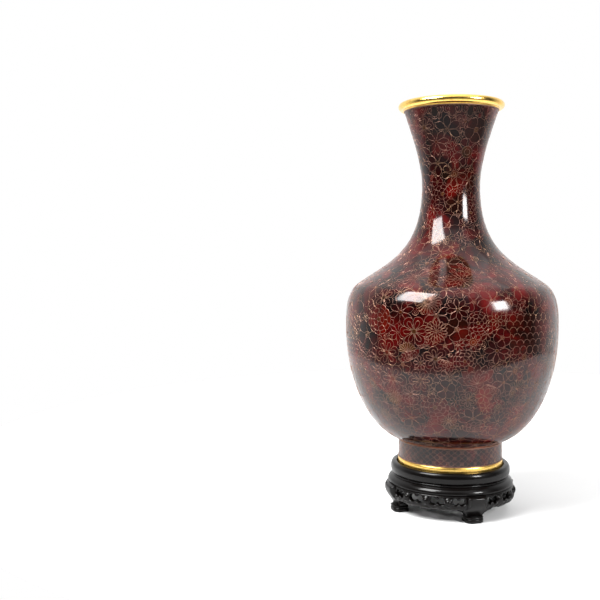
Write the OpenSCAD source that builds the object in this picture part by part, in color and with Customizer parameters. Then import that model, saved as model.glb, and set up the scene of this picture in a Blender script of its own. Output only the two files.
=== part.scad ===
// Cloisonne vase seated in a round carved wood stand.
// Millimetres, +Z up, origin on the floor below the centre of the stand.
// The vase is raised copper with enamel fired on both sides, and it lifts straight up
// out of the stand. The stand is a turned top on four legs with pierced aprons between.

/* [Vase outline] */
// Height of the vase alone, from the underside of its foot to the top of its rim
vase_h = 384; // [320:1:461]
// Largest radius of the belly
belly_r = 110.6; // [92:0.1:133]
// Height of the widest part of the belly above the underside of the foot
belly_z = 149; // [135:1:163]
// Smallest radius of the neck
neck_r = 30.5; // [25.4:0.1:36.6]
// Height of the narrowest part of the neck above the underside of the foot
neck_z = 296.5; // [273:0.5:303]
// Outer radius of the rolled rim
rim_r = 55.4; // [46:0.1:66.5]
// Outer radius of the foot
foot_r = 54.5; // [45:0.1:66]
// Height of the foot, up to where the belly starts
foot_h = 29.5; // [25:0.5:35]

/* [Vase curves] */
// How far out the belly runs before it turns up, as a share of its width over the foot
belly_spread = 0.63; // [0.5:0.01:0.75]
// Slope of the belly where it leaves the foot, degrees
belly_slope = 19; // [10:1:30]
// How full the belly stays below its widest part, as a share of its height over the foot
belly_fullness = 0.49; // [0.35:0.01:0.6]
// Radius lost between the widest part and the turn of the shoulder
shoulder_inset = 12.7; // [10:0.1:16]
// Height gained between the widest part and the turn of the shoulder
shoulder_rise = 44.3; // [38:0.1:50]
// Slope of the shoulder at its turn, degrees
shoulder_slope = 36; // [30:1:42]
// How far the neck keeps its width downwards, as a share of its height over the shoulder
neck_fullness = 0.68; // [0.55:0.01:0.75]
// Slope of the neck where it meets the rim, degrees from vertical
rim_flare = 16; // [8:1:24]

/* [Vase walls] */
// Thickness of the copper wall
copper_t = 1.2; // [0.8:0.1:1.6]
// Thickness of the coloured enamel outside
enamel_t = 0.8; // [0.5:0.1:1.2]
// Thickness of the plain enamel inside and under the base
lining_t = 0.6; // [0.4:0.1:0.9]
// Where the border under the rim starts, along the curve of the neck
border_from = 0.74; // [0.65:0.01:0.8]
// Radius of the rolled rim's own section
rim_bead_r = 4; // [3.2:0.1:4.8]
// How far the rings of wire that edge the enamel stand out
edge_wire_r = 0.4; // [0.3:0.05:0.6]
// Height of the gilt band round the foot
band_h = 10; // [8:0.5:12]
// Thickness of the gilt band
band_t = 3; // [2.2:0.1:4]

/* [Stand] */
// Height of the seat that the vase stands on, above the floor
seat_h = 44; // [37:0.5:53]
// Clearance all round between the foot of the vase and the collar
seat_gap = 0.8; // [0.5:0.1:1.5]
// How far the collar rises above the seat
recess_depth = 5; // [4:0.5:7]
// Thickness of the seat board
seat_board_t = 8.5; // [7:0.5:10]
// Width of the collar's ring
collar_w = 7; // [5.5:0.1:8.5]
// Height of the bead under the collar
bead_h = 1.6; // [1.2:0.1:2.2]
// Thickness of the wide lower board
board_t = 7.5; // [6:0.5:9]
// How far the wide board stands out past the collar
board_out = 3; // [2:0.1:5]
// Radius of the dowels that hold the legs
dowel_r = 2.5; // [2:0.1:3]
// Length of the dowels, half of it in the board
dowel_l = 10; // [7:0.5:11]

/* [Legs and aprons] */
// Width of a leg across its knee
leg_w = 20; // [16:0.5:24]
// Thickness of a leg from front to back
leg_t = 12; // [10:0.5:14]
// How far the knee stands out past the wide board
knee_out = 5; // [3:0.1:7]
// Width across the bracket where a leg spreads under the aprons
bracket_w = 38; // [32:1:44]
// Height of the foot pad of a leg
pad_h = 6.4; // [5:0.1:7.5]
// Width of the foot pad
pad_w = 19; // [16:0.5:22]
// Length of the foot pad from front to back
pad_l = 15; // [12:0.5:17]
// Height of an apron
apron_h = 15; // [12:0.5:16]
// Thickness of an apron
apron_t = 6; // [4.5:0.1:7.5]
// Height of the pierced openings in an apron
pierce_h = 7.6; // [6:0.1:8.5]

/* [Hidden] */

$fn = 180;
copper_colour = [0.72, 0.45, 0.3];
gilt_colour = [0.9, 0.7, 0.3];
field_colour = [0.3, 0.07, 0.06];
lining_colour = [0.1, 0.45, 0.5];
wood_colour = [0.09, 0.08, 0.08];

// --- Vase: outline curves, as four control points each -------------------------------
leg_count = 4;
leg_step = 360 / leg_count;
first_leg = -45;
belly_steps = 20;
shoulder_steps = 8;
neck_base_steps = 18;
seam_step = 7;
seam_at = seam_step / neck_base_steps;
neck_steps = 10;
border_steps = 4;
rim_wire_from = 0.97;

foot_top = [foot_r, foot_h];
widest = [belly_r, belly_z];
turn = [belly_r - shoulder_inset, belly_z + shoulder_rise];
waist = [neck_r, neck_z];
bead_centre = [rim_r - rim_bead_r, vase_h - rim_bead_r];
neck_top = bead_centre + [-2, -rim_bead_r - 0.5];
neck_rise = neck_top.y - neck_z;
turn_dir = [-cos(shoulder_slope), sin(shoulder_slope)];

belly_curve = [
  foot_top,
  foot_top + belly_spread * (belly_r - foot_r) * [cos(belly_slope), sin(belly_slope)],
  widest - [0, belly_fullness * (belly_z - foot_h)],
  widest
];
shoulder_curve = [
  widest,
  widest + [0, 0.25 * shoulder_rise],
  turn - 0.38 * shoulder_rise * turn_dir,
  turn
];
neck_base_curve = [
  turn,
  turn + 0.37 * (neck_z - turn.y) * turn_dir,
  waist - [0, neck_fullness * (neck_z - turn.y)],
  waist
];
neck_curve = [
  waist,
  waist + [0, 0.36 * neck_rise],
  neck_top - 0.16 * neck_rise * [sin(rim_flare), cos(rim_flare)],
  neck_top
];

function curve_point(c, t) =
  pow(1 - t, 3) * c[0] + 3 * t * pow(1 - t, 2) * c[1] + 3 * t * t * (1 - t) * c[2]
  + pow(t, 3) * c[3];
function curve_tangent(c, t) =
  pow(1 - t, 2) * (c[1] - c[0]) + 2 * t * (1 - t) * (c[2] - c[1]) + t * t * (c[3] - c[2]);
// A point that lies depth inside the curve, square to it
function inside(c, t, depth) =
  let (d = curve_tangent(c, t)) curve_point(c, t) + depth * [-d.y, d.x] / norm(d);
function line_inside(c, depth, steps, from = 0, to = 1) =
  [for (i = [0:steps]) inside(c, from + (to - from) * i / steps, depth)];
function reversed(list) = [for (i = [len(list) - 1:-1:0]) list[i]];
// The neck below and behind the border, so that all its layers share the same points
function neck_line(depth) = line_inside(neck_curve, depth, neck_steps, 0, border_from);
function border_line(depth) = concat(
  line_inside(neck_curve, depth, border_steps, border_from, rim_wire_from),
  [inside(neck_curve, 1, depth)]
);

copper_out = enamel_t;
copper_in = enamel_t + copper_t;
lining_in = copper_in + lining_t;
floor_z = inside(belly_curve, 0, copper_in).y;
floor_r = inside(belly_curve, 0, copper_in).x;
joint_z = foot_h + 0.2;
top_wire_z = foot_h - 1.6;
wall_out_r = foot_r - enamel_t;
wall_in_r = wall_out_r - copper_t - 0.3;

// --- Stand: heights and radii, all carried by the foot of the vase -------------------
band_r = foot_r + 0.1;
recess_r = band_r + seat_gap;
collar_r = recess_r + collar_w;
collar_top = seat_h + recess_depth;
board_top = seat_h - seat_board_t;
board_low = board_top - board_t;
board_r = collar_r + board_out;
neck_groove_r = collar_r - 1.6;
knee_r = board_r + knee_out;
knee_z = board_low - 3;
ankle_r = knee_r - 8.9;
apron_r = board_r + 1.8;
apron_low = board_low - apron_h;
pad_r = knee_r - 5.4;
dowel_circle_r = knee_r - leg_t / 2 - 2.5;
groove_low = 0.62 * pad_h;
groove_high = 0.76 * pad_h;
knot_angle = 20;

module turned(points) rotate_extrude() polygon(points);

module seated() translate([0, 0, seat_h]) children();

// --- Vase pieces --------------------------------------------------------------------
module foot_band() color(gilt_colour) seated() turned([
  [band_r - band_t, 0], [band_r - 0.8, 0], [band_r, 0.8], [band_r, band_h - 0.5],
  [band_r - 0.5, band_h], [band_r - band_t, band_h]
]);

module foot_wall() color(copper_colour) seated() difference() {
  translate([0, 0, band_h]) cylinder(h = joint_z - band_h, r = wall_out_r);
  translate([0, 0, band_h - 1]) cylinder(h = joint_z - band_h + 2, r = wall_in_r);
}

module foot_enamel() color(field_colour) seated() turned([
  [wall_out_r, band_h], [foot_r - 0.5, band_h], [foot_r, band_h + 0.8],
  [foot_r, top_wire_z], [wall_out_r, top_wire_z]
]);

// A wire lying in the bevel where the enamel meets the gilt band
module foot_lower_wire() color(gilt_colour) seated() turned([
  [foot_r - 0.5, band_h], [foot_r, band_h], [foot_r + edge_wire_r, band_h + 0.4],
  [foot_r, band_h + 0.8]
]);

module foot_top_wire() color(gilt_colour) seated() turned([
  [wall_out_r, top_wire_z], [foot_r, top_wire_z], [foot_r + edge_wire_r, top_wire_z + 0.5],
  [foot_r + edge_wire_r, joint_z - 0.8], [foot_r, joint_z - 0.3], [wall_out_r, joint_z - 0.3]
]);

module bottom_plate() color(copper_colour) seated()
  translate([0, 0, floor_z - copper_t]) cylinder(h = copper_t, r = wall_in_r);

module base_enamel() color(lining_colour) seated()
  translate([0, 0, floor_z - copper_t - lining_t]) cylinder(h = lining_t, r = wall_in_r);

// The lower shell carries an inward flange that sits on the foot and holds the bottom
module belly_shell() color(copper_colour) seated() turned(concat(
  [[wall_in_r, joint_z], [wall_out_r, joint_z]],
  line_inside(belly_curve, copper_out, belly_steps),
  reversed(line_inside(belly_curve, copper_in, belly_steps)),
  [[wall_in_r, floor_z]]
));

// The shoulder and the neck are raised separately and meet part of the way up the curve
module shoulder_shell() color(copper_colour) seated() turned(concat(
  line_inside(shoulder_curve, copper_out, shoulder_steps),
  line_inside(neck_base_curve, copper_out, seam_step, 0, seam_at),
  reversed(line_inside(neck_base_curve, copper_in, seam_step, 0, seam_at)),
  reversed(line_inside(shoulder_curve, copper_in, shoulder_steps))
));

module neck_shell() color(copper_colour) seated() turned(concat(
  line_inside(neck_base_curve, copper_out, neck_base_steps - seam_step, seam_at, 1),
  neck_line(copper_out),
  border_line(copper_out),
  reversed(border_line(copper_in)),
  reversed(neck_line(copper_in)),
  reversed(line_inside(neck_base_curve, copper_in, neck_base_steps - seam_step, seam_at, 1))
));

module body_enamel() color(field_colour) seated() turned(concat(
  [[wall_out_r, joint_z - 0.3], [foot_r, joint_z - 0.3]],
  line_inside(belly_curve, 0, belly_steps),
  line_inside(shoulder_curve, 0, shoulder_steps),
  line_inside(neck_base_curve, 0, neck_base_steps),
  neck_line(0),
  reversed(neck_line(copper_out)),
  reversed(line_inside(neck_base_curve, copper_out, neck_base_steps)),
  reversed(line_inside(shoulder_curve, copper_out, shoulder_steps)),
  reversed(line_inside(belly_curve, copper_out, belly_steps)),
  [[wall_out_r, joint_z]]
));

module border_enamel() color(field_colour) seated()
  turned(concat(border_line(0), reversed(border_line(copper_out))));

module lining_enamel() color(lining_colour) seated() turned(concat(
  [[0, floor_z], [floor_r, floor_z]],
  line_inside(belly_curve, copper_in, belly_steps),
  line_inside(shoulder_curve, copper_in, shoulder_steps),
  line_inside(neck_base_curve, copper_in, neck_base_steps),
  neck_line(copper_in),
  border_line(copper_in),
  reversed(border_line(lining_in)),
  reversed(neck_line(lining_in)),
  reversed(line_inside(neck_base_curve, lining_in, neck_base_steps)),
  reversed(line_inside(shoulder_curve, lining_in, shoulder_steps)),
  reversed(line_inside(belly_curve, lining_in, belly_steps, 0.02, 1)),
  [[0, floor_z + lining_t]]
));

module rim_wire() color(gilt_colour) seated() turned([
  inside(neck_curve, rim_wire_from, 0), inside(neck_curve, rim_wire_from, -edge_wire_r),
  inside(neck_curve, 1, -edge_wire_r), inside(neck_curve, 1, 0)
]);

// The rim is rolled outwards into a bead, and its skirt is brazed to the neck's edge
module mouth_rim() color(gilt_colour) seated() union() {
  rotate_extrude() translate(bead_centre) circle(rim_bead_r, $fn = 48);
  turned([
    inside(neck_curve, 1, 0), inside(neck_curve, 1, lining_in),
    bead_centre - [rim_bead_r - 0.4, 0], bead_centre
  ]);
}

// --- Stand pieces ---------------------------------------------------------------------
module leg_pegs(extra = 0) for (i = [0:leg_count - 1])
  rotate([0, 0, first_leg + i * leg_step])
    translate([dowel_circle_r, 0, board_low - dowel_l / 2 - extra])
      cylinder(h = dowel_l + 2 * extra, r = dowel_r);

module leg_dowels() color(wood_colour) leg_pegs();

module shoulder_board() color(wood_colour) difference() {
  turned([
    [0, board_low], [board_r - 1, board_low], [board_r, board_low + 1],
    [board_r - 0.2, board_low + 2.6], [board_r - 1.2, board_low + 4.4],
    [board_r - 2.8, board_top - 1.4], [neck_groove_r, board_top], [0, board_top]
  ]);
  leg_pegs();
}

module waist_bead() color(wood_colour) turned(concat(
  [[recess_r, board_top]],
  [for (a = [-90:30:90]) [neck_groove_r - bead_h / 2 + bead_h / 2 * cos(a),
                          board_top + bead_h / 2 + bead_h / 2 * sin(a)]],
  [[recess_r, board_top + bead_h]]
));

module seat_board() color(wood_colour)
  translate([0, 0, board_top]) cylinder(h = seat_board_t, r = recess_r);

// A fat round moulding: its outside is half an ellipse, taller than it is wide
module collar_ring() color(wood_colour) turned(concat(
  [[recess_r, board_top + bead_h]],
  [for (a = [-90:15:75]) [collar_r - 3 + 3 * cos(a),
    (board_top + bead_h + collar_top) / 2
    + (collar_top - board_top - bead_h) / 2 * sin(a)]],
  [[collar_r - 3.8, collar_top], [recess_r + 0.6, collar_top], [recess_r, collar_top - 0.6]]
));

leg_face_curve = [
  [ankle_r, pad_h], [ankle_r + 1.2, pad_h + 0.3 * (knee_z - pad_h)],
  [knee_r, knee_z - 0.45 * (knee_z - pad_h)], [knee_r, knee_z]
];

// A leg is cut from a turned ring: its face swells out at the knee and in at the ankle
module leg_block() rotate_extrude() polygon(concat(
  [[ankle_r - leg_t + 1, groove_low], [ankle_r, groove_low]],
  [for (i = [0:10]) curve_point(leg_face_curve, i / 10)],
  [[knee_r - 0.6, knee_z + 1.6], [board_r + 0.6, board_low], [knee_r - leg_t - 2, board_low]]
));

// Seen from the front: narrow at the pad's groove, spreading into a bracket under the aprons
module leg_front_shape() {
  ankle_w = pad_w - 2;
  bracket_edge = [for (a = [0:10:90]) [ankle_w / 2 + (bracket_w - ankle_w) / 2 * (1 - cos(a)),
                                       groove_low + (apron_low - groove_low) * sin(a)]];
  polygon(concat(
    bracket_edge,
    [[leg_w / 2, apron_low], [leg_w / 2, board_low]],
    [[-leg_w / 2, board_low], [-leg_w / 2, apron_low]],
    [for (p = reversed(bracket_edge)) [-p.x, p.y]]
  ));
}

module pad_plan(inset = 0) {
  chamfer = 4;
  half = pad_w / 2 - inset;
  back = pad_r - pad_l + inset;
  front = pad_r - inset;
  polygon([[back, -half], [front - chamfer, -half], [front, -half + chamfer],
           [front, half - chamfer], [front - chamfer, half], [back, half]]);
}

module leg(number) color(wood_colour) rotate([0, 0, first_leg + number * leg_step])
  difference() {
    union() {
      intersection() {
        leg_block();
        rotate([90, 0, 90]) linear_extrude(height = knee_r + 10) leg_front_shape();
      }
      linear_extrude(height = groove_low) pad_plan();
      translate([0, 0, groove_low]) linear_extrude(height = groove_high - groove_low) pad_plan(0.7);
      translate([0, 0, groove_high]) linear_extrude(height = pad_h - groove_high) pad_plan();
    }
    translate([dowel_circle_r, 0, board_low - dowel_l / 2])
      cylinder(h = dowel_l, r = dowel_r);
  }

module leg_front_right() leg(0);
module leg_back_right() leg(1);
module leg_back_left() leg(2);
module leg_front_left() leg(3);

// A pierced opening, round at both ends, cut straight through at one angle
module pierce(angle, width) rotate([0, 0, angle])
  translate([apron_r - 3 * apron_t, 0, board_low - 1.6 - pierce_h / 2])
    rotate([90, 0, 90]) linear_extrude(height = 6 * apron_t) union() {
      square([width - pierce_h, pierce_h], center = true);
      translate([(width - pierce_h) / 2, 0]) circle(pierce_h / 2);
      translate([-(width - pierce_h) / 2, 0]) circle(pierce_h / 2);
    }

module scallop(angle, r) rotate([0, 0, angle])
  translate([apron_r - 3 * apron_t, 0, apron_low - r + 1.4])
    rotate([0, 90, 0]) cylinder(h = 6 * apron_t, r = r);

module apron(number) color(wood_colour) rotate([0, 0, first_leg + number * leg_step])
  difference() {
    rotate_extrude(angle = leg_step) polygon([
      [apron_r - apron_t, apron_low], [apron_r - 2.2, apron_low],
      [apron_r - 0.6, apron_low + 2.5], [apron_r, apron_low + 5.5],
      [apron_r - 0.2, apron_low + 9], [board_r + 0.2, board_low],
      [apron_r - apron_t, board_low]
    ]);
    translate([0, -1, apron_low - 1]) cube([knee_r + 5, leg_w / 2 + 1, apron_h + 2]);
    rotate([0, 0, leg_step]) translate([0, -leg_w / 2, apron_low - 1])
      cube([knee_r + 5, leg_w / 2 + 1, apron_h + 2]);
    for (side = [-1, 1]) {
      pierce(leg_step / 2 + side * knot_angle / 2, 15.5);
      pierce(leg_step / 2 + side * (knot_angle + 9), 13);
      scallop(leg_step / 2 + side * 9, 6.5);
    }
  }

module apron_front() apron(3);
module apron_right() apron(0);
module apron_back() apron(1);
module apron_left() apron(2);

shoulder_board();
waist_bead();
seat_board();
collar_ring();
leg_dowels();
leg_front_right();
leg_back_right();
leg_back_left();
leg_front_left();
apron_front();
apron_right();
apron_back();
apron_left();
foot_band();
foot_wall();
foot_enamel();
foot_lower_wire();
foot_top_wire();
bottom_plate();
base_enamel();
belly_shell();
shoulder_shell();
neck_shell();
body_enamel();
border_enamel();
rim_wire();
lining_enamel();
mouth_rim();
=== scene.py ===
import math
import random

import bmesh
import bpy
import numpy as np
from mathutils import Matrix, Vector


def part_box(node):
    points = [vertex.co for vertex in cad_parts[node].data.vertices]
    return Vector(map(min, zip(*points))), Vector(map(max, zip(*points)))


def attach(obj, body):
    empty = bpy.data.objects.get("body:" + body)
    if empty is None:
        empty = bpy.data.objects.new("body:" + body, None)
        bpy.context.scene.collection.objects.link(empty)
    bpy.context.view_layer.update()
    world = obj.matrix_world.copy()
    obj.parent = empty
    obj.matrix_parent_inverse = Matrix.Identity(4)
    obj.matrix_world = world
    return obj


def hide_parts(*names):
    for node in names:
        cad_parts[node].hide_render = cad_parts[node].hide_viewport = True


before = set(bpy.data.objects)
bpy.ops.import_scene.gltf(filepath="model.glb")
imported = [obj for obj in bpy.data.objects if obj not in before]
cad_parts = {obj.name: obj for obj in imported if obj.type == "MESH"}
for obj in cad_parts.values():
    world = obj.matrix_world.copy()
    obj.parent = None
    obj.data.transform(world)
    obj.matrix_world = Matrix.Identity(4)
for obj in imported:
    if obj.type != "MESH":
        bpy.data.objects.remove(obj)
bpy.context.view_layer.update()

mm = 0.001
fullTurn = 2 * math.pi


# ---- Helpers: meshes ----
def newObject(name, mesh):
    piece = bpy.data.objects.new(name, mesh)
    bpy.context.scene.collection.objects.link(piece)
    return piece


def meshFrom(name, points, faces, edges=()):
    mesh = bpy.data.meshes.new(name)
    mesh.from_pydata(np.asarray(points, dtype=float).tolist(), list(edges), faces)
    mesh.update()
    return mesh


# Merges doubles, turns every face outwards and leaves only real edges sharp
def finishMesh(mesh, creaseDegrees=38):
    work = bmesh.new()
    work.from_mesh(mesh)
    bmesh.ops.remove_doubles(work, verts=work.verts, dist=1e-7)
    bmesh.ops.recalc_face_normals(work, faces=work.faces)
    work.to_mesh(mesh)
    work.free()
    mesh.shade_smooth()
    mesh.set_sharp_from_angle(angle=math.radians(creaseDegrees))
    return mesh


# Azimuth 0 faces -Y and grows towards +X
def aroundAxis(radius, height, azimuth):
    return np.stack(np.broadcast_arrays(radius * np.sin(azimuth), -radius * np.cos(azimuth), height), -1)


# A closed outline of (radius, height) in mm, turned round the axis
def lathe(name, outline, columns, creaseDegrees=38):
    outline = np.asarray(outline, dtype=float)
    count = len(outline)
    azimuth = np.linspace(0, fullTurn, columns, endpoint=False)[:, None]
    points = aroundAxis(outline[None, :, 0], outline[None, :, 1], azimuth).reshape(-1, 3)
    faces = []
    for column in range(columns):
        here = column * count
        there = ((column + 1) % columns) * count
        for i in range(count):
            j = (i + 1) % count
            if max(outline[i, 0], outline[j, 0]) < 1e-6:
                continue
            if outline[i, 0] < 1e-6:
                faces.append((here + i, there + j, here + j))
            elif outline[j, 0] < 1e-6:
                faces.append((here + i, there + i, here + j))
            else:
                faces.append((here + i, there + i, there + j, here + j))
    return newObject(name, finishMesh(meshFrom(name, points * mm, faces), creaseDegrees))


# Gives a made piece its material and body, and hides the CAD nodes that it stands for
def settle(piece, body, slotName, material, *nodes):
    if material is not None:
        piece.data.materials.clear()
        piece.data.materials.append(material)
    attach(piece, body)
    if nodes:
        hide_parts(*nodes)
    return piece


def arc(centre, radius, fromDegrees, toDegrees, count, tall=1.0):
    angles = np.radians(np.linspace(fromDegrees, toDegrees, count))
    return [(centre[0] + radius * math.cos(a), centre[1] + tall * radius * math.sin(a)) for a in angles]


# ---- The vase's outline: (radius, height above the underside of the foot) in mm ----
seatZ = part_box("foot_band")[0][2] / mm
vaseShape = {
    "vaseH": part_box("mouth_rim")[1][2] / mm - seatZ,
    "rimR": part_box("mouth_rim")[1][0] / mm,
    "bellyR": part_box("body_enamel")[1][0] / mm,
    "bellyZ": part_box("belly_shell")[1][2] / mm - seatZ,
    "footR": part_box("foot_enamel")[1][0] / mm,
    "footH": 29.5,
    "neckR": 30.5,
    "neckZ": 296.5,
    "bellySpread": 0.63,
    "bellySlope": 19,
    "bellyFullness": 0.49,
    "shoulderInset": 12.7,
    "shoulderRise": 44.3,
    "shoulderSlope": 36,
    "neckFullness": 0.68,
    "rimFlare": 16,
    "rimBead": 4.0,
    "borderFrom": 0.74,
}


def direction(degrees):
    return np.array([math.cos(math.radians(degrees)), math.sin(math.radians(degrees))])


def cubic(points, t):
    a, b, c, d = (np.asarray(p, dtype=float) for p in points)
    t = np.asarray(t, dtype=float)[:, None]
    return (1 - t) ** 3 * a + 3 * t * (1 - t) ** 2 * b + 3 * t * t * (1 - t) * c + t ** 3 * d


def vaseCurves(v):
    footTop = np.array([v["footR"], v["footH"]])
    widest = np.array([v["bellyR"], v["bellyZ"]])
    turn = widest + [-v["shoulderInset"], v["shoulderRise"]]
    waist = np.array([v["neckR"], v["neckZ"]])
    beadCentre = np.array([v["rimR"] - v["rimBead"], v["vaseH"] - v["rimBead"]])
    neckTop = beadCentre + [-2, -v["rimBead"] - 0.5]
    inward = direction(180 - v["shoulderSlope"])
    flare = direction(90 - v["rimFlare"])
    rise = neckTop[1] - waist[1]
    drop = waist[1] - turn[1]
    width = v["bellyR"] - v["footR"]
    return beadCentre, [
        (footTop, footTop + v["bellySpread"] * width * direction(v["bellySlope"]),
         widest - [0, v["bellyFullness"] * (v["bellyZ"] - v["footH"])], widest),
        (widest, widest + [0, 0.25 * v["shoulderRise"]],
         turn - 0.38 * v["shoulderRise"] * inward, turn),
        (turn, turn + 0.37 * drop * inward, waist - [0, v["neckFullness"] * drop], waist),
        (waist, waist + [0, 0.36 * rise], neckTop - 0.16 * rise * flare, neckTop),
    ]


beadCentre, curves = vaseCurves(vaseShape)
fineStep = np.linspace(0, 1, 400)
line = np.concatenate([cubic(c, fineStep[:-1]) for c in curves] + [np.array([curves[-1][3]])])
lineS = np.concatenate([[0], np.cumsum(np.hypot(*np.diff(line, axis=0).T))])
slopeR = np.gradient(line[:, 0], lineS)
slopeZ = np.gradient(line[:, 1], lineS)


def radiusAt(s):
    return np.interp(s, lineS, line[:, 0])


# A point on the vase's skin, lifted square to it, in mm above the floor
def onSkin(s, azimuth, lift):
    outR = np.interp(s, lineS, slopeZ)
    outZ = -np.interp(s, lineS, slopeR)
    size = np.hypot(outR, outZ)
    radius = radiusAt(s) + lift * outR / size
    height = np.interp(s, lineS, line[:, 1]) + lift * outZ / size + seatZ
    return aroundAxis(radius, height, azimuth)


def alongAtHeight(z):
    return float(np.interp(z - seatZ, line[:, 1], lineS))


curveEnds = [lineS[399 * (i + 1)] for i in range(4)]
widestS, turnS, waistS, topS = curveEnds
borderS = float(lineS[int(399 * (3 + vaseShape["borderFrom"]))])
print("outline ready, skin length", round(topS, 1), "mm")


# ---- Materials ----
def enamelColour(red, green, blue):
    return ((red / 255) ** 2.2, (green / 255) ** 2.2, (blue / 255) ** 2.2)


def shaderGroup(name, inputs, outputs):
    group = bpy.data.node_groups.new(name, "ShaderNodeTree")
    for label, kind, value in inputs:
        group.interface.new_socket(label, in_out="INPUT", socket_type=kind).default_value = value
    for label, kind in outputs:
        group.interface.new_socket(label, in_out="OUTPUT", socket_type=kind)
    return group, group.nodes.new("NodeGroupInput"), group.nodes.new("NodeGroupOutput")


def noiseNode(tree, coordinate, scale, detail, distortion=0.0, roughness=0.5):
    noise = tree.nodes.new("ShaderNodeTexNoise")
    tree.links.new(coordinate, noise.inputs["Vector"])
    if isinstance(scale, (int, float)):
        noise.inputs["Scale"].default_value = scale
    else:
        tree.links.new(scale, noise.inputs["Scale"])
    noise.inputs["Detail"].default_value = detail
    noise.inputs["Distortion"].default_value = distortion
    noise.inputs["Roughness"].default_value = roughness
    return noise.outputs["Fac"]


def rangeNode(tree, value, fromLow, fromHigh, toLow, toHigh):
    node = tree.nodes.new("ShaderNodeMapRange")
    tree.links.new(value, node.inputs["Value"])
    for label, amount in (("From Min", fromLow), ("From Max", fromHigh),
                          ("To Min", toLow), ("To Max", toHigh)):
        if isinstance(amount, (int, float)):
            node.inputs[label].default_value = amount
        else:
            tree.links.new(amount, node.inputs[label])
    return node.outputs["Result"]


def mixNode(tree, factor, first, second, blend="MIX"):
    node = tree.nodes.new("ShaderNodeMix")
    node.data_type = "RGBA"
    node.blend_type = blend
    colourA, colourB = [s for s in node.inputs if s.type == "RGBA"]
    for socket, value in ((node.inputs[0], factor), (colourA, first), (colourB, second)):
        if isinstance(value, (int, float)):
            socket.default_value = value
        elif isinstance(value, tuple):
            socket.default_value = (*value, 1)
        else:
            tree.links.new(value, socket)
    return [s for s in node.outputs if s.type == "RGBA"][0]


def multiplyNode(tree, first, second):
    node = tree.nodes.new("ShaderNodeMath")
    node.operation = "MULTIPLY"
    for socket, value in zip(node.inputs, (first, second)):
        if isinstance(value, (int, float)):
            socket.default_value = value
        else:
            tree.links.new(value, socket)
    return node.outputs[0]


# Clouds of two more colours laid over a base colour, as glass powders run together
def makeCloudGroup():
    group, into, out = shaderGroup(
        "firedClouds",
        [("Base", "NodeSocketColor", (0.1, 0.1, 0.1, 1)), ("First Cloud", "NodeSocketColor", (0.3, 0, 0, 1)),
         ("Second Cloud", "NodeSocketColor", (0, 0.1, 0, 1)), ("Scale", "NodeSocketFloat", 30.0),
         ("First Amount", "NodeSocketFloat", 0.6), ("Second Amount", "NodeSocketFloat", 0.5)],
        [("Color", "NodeSocketColor")])
    place = group.nodes.new("ShaderNodeTexCoord").outputs["Object"]
    shift = group.nodes.new("ShaderNodeMapping")
    shift.inputs["Location"].default_value = (0.31, 0.17, 0.53)
    group.links.new(place, shift.inputs["Vector"])
    first = rangeNode(group, noiseNode(group, place, into.outputs["Scale"], 4, 0.6), 0.46, 0.66, 0, 1)
    second = rangeNode(group, noiseNode(group, shift.outputs[0], into.outputs["Scale"], 4, 0.6),
                       0.46, 0.64, 0, 1)
    firstAmount = multiplyNode(group, first, into.outputs["First Amount"])
    secondAmount = multiplyNode(group, second, into.outputs["Second Amount"])
    colour = mixNode(group, firstAmount, into.outputs["Base"], into.outputs["First Cloud"])
    colour = mixNode(group, secondAmount, colour, into.outputs["Second Cloud"])
    grain = rangeNode(group, noiseNode(group, place, 900, 2), 0.3, 0.7, 0.8, 1.15)
    tone = group.nodes.new("ShaderNodeVectorMath")
    tone.operation = "SCALE"
    group.links.new(colour, tone.inputs[0])
    group.links.new(grain, tone.inputs["Scale"])
    group.links.new(tone.outputs[0], out.inputs["Color"])
    return group


# Handling marks: roughness that wanders, and a fine height for bump
def makeFinishGroup():
    group, into, out = shaderGroup(
        "surfaceFinish",
        [("Patch Scale", "NodeSocketFloat", 60.0), ("Fine Scale", "NodeSocketFloat", 900.0),
         ("Roughness Low", "NodeSocketFloat", 0.1), ("Roughness High", "NodeSocketFloat", 0.2)],
        [("Roughness", "NodeSocketFloat"), ("Height", "NodeSocketFloat")])
    place = group.nodes.new("ShaderNodeTexCoord").outputs["Object"]
    patches = noiseNode(group, place, into.outputs["Patch Scale"], 6, 0.4)
    group.links.new(rangeNode(group, patches, 0.3, 0.7, into.outputs["Roughness Low"],
                              into.outputs["Roughness High"]), out.inputs["Roughness"])
    group.links.new(noiseNode(group, place, into.outputs["Fine Scale"], 3), out.inputs["Height"])
    return group


cloudGroup = makeCloudGroup()
finishGroup = makeFinishGroup()


def baseMaterial(name, metallic, patchScale, fineScale, rough, bump, bumpDistance):
    material = bpy.data.materials.new(name)
    material.use_nodes = True
    tree = material.node_tree
    shader = tree.nodes["Principled BSDF"]
    shader.inputs["Metallic"].default_value = metallic
    finish = tree.nodes.new("ShaderNodeGroup")
    finish.node_tree = finishGroup
    finish.inputs["Patch Scale"].default_value = patchScale
    finish.inputs["Fine Scale"].default_value = fineScale
    finish.inputs["Roughness Low"].default_value = rough[0]
    finish.inputs["Roughness High"].default_value = rough[1]
    tree.links.new(finish.outputs["Roughness"], shader.inputs["Roughness"])
    dent = tree.nodes.new("ShaderNodeBump")
    dent.inputs["Strength"].default_value = bump
    dent.inputs["Distance"].default_value = bumpDistance
    tree.links.new(finish.outputs["Height"], dent.inputs["Height"])
    tree.links.new(dent.outputs["Normal"], shader.inputs["Normal"])
    return material, tree, shader


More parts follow.
